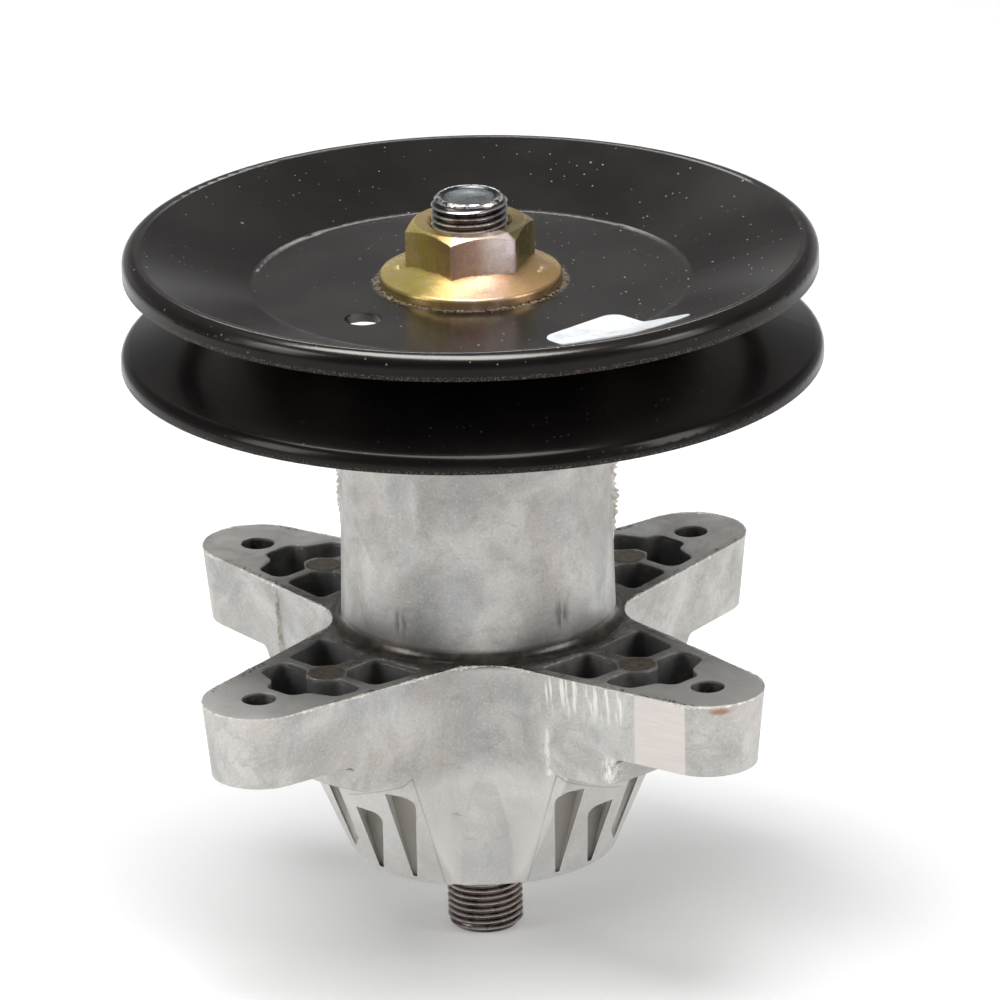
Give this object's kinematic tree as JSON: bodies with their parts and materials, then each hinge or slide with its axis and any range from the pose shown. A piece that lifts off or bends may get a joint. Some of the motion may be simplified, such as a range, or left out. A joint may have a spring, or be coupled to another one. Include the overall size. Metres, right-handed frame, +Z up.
{
  "type": "mower deck spindle",
  "caption": "Mower deck spindle: four-armed die-cast housing with cored pockets, shaft on sealed ball bearings, pressed V-belt pulley and flange nut.",
  "frame": {"origin": "centre of the star flange's top face, which seats against the underside of the deck", "axes": "+Z up along the shaft towards the pulley, X and Y along the hollows between the arms, arms on the diagonals"},
  "size_m": [0.146, 0.146, 0.1618],
  "materials": {
    "cast_aluminium": "rough die-cast skin, stained dark near the neck's foot",
    "shaft_steel": "turned steel, darkened",
    "bearing_steel": "ground",
    "cage_steel": "pressed strip",
    "seal_rubber": "moulded",
    "spacer_steel": "turned",
    "black_paint": "semi-gloss black paint with dust",
    "yellow_zinc": "yellow zinc plate, iridescent"
  },
  "bodies": {
    "housing": {"housing": "cast_aluminium", "lower_bearing_outer_race": "bearing_steel", "lower_bearing_upper_seal": "seal_rubber", "lower_bearing_lower_seal": "seal_rubber", "upper_bearing_outer_race": "bearing_steel", "upper_bearing_upper_seal": "seal_rubber", "upper_bearing_lower_seal": "seal_rubber"},
    "rotor": {"shaft": "shaft_steel", "lower_bearing_inner_race": "bearing_steel", "upper_bearing_inner_race": "bearing_steel", "bearing_spacer": "spacer_steel", "pulley_spacer": "spacer_steel", "pulley_upper_half": "black_paint", "pulley_lower_half": "black_paint", "flange_nut": "yellow_zinc"},
    "lower_ball_set": {"lower_bearing_balls": "bearing_steel", "lower_bearing_upper_cage_half": "cage_steel", "lower_bearing_lower_cage_half": "cage_steel", "lower_bearing_cage_rivets": "cage_steel"},
    "upper_ball_set": {"upper_bearing_balls": "bearing_steel", "upper_bearing_upper_cage_half": "cage_steel", "upper_bearing_lower_cage_half": "cage_steel", "upper_bearing_cage_rivets": "cage_steel"}
  },
  "joints": [
    {"name": "shaft_spin", "type": "hinge", "parent": "housing", "child": "rotor", "pos_m": [0, 0, 0], "axis": [0, 0, 1], "continuous": true},
    {"name": "lower_cage_spin", "type": "hinge", "parent": "housing", "child": "lower_ball_set", "pos_m": [0, 0, -0.042], "axis": [0, 0, 1], "continuous": true},
    {"name": "upper_cage_spin", "type": "hinge", "parent": "housing", "child": "upper_ball_set", "pos_m": [0, 0, 0.0495], "axis": [0, 0, 1], "continuous": true}
  ],
  "couplings": [
    {"joint": "lower_cage_spin", "follows": "shaft_spin", "ratio": 0.3816},
    {"joint": "upper_cage_spin", "follows": "shaft_spin", "ratio": 0.3816}
  ]
}
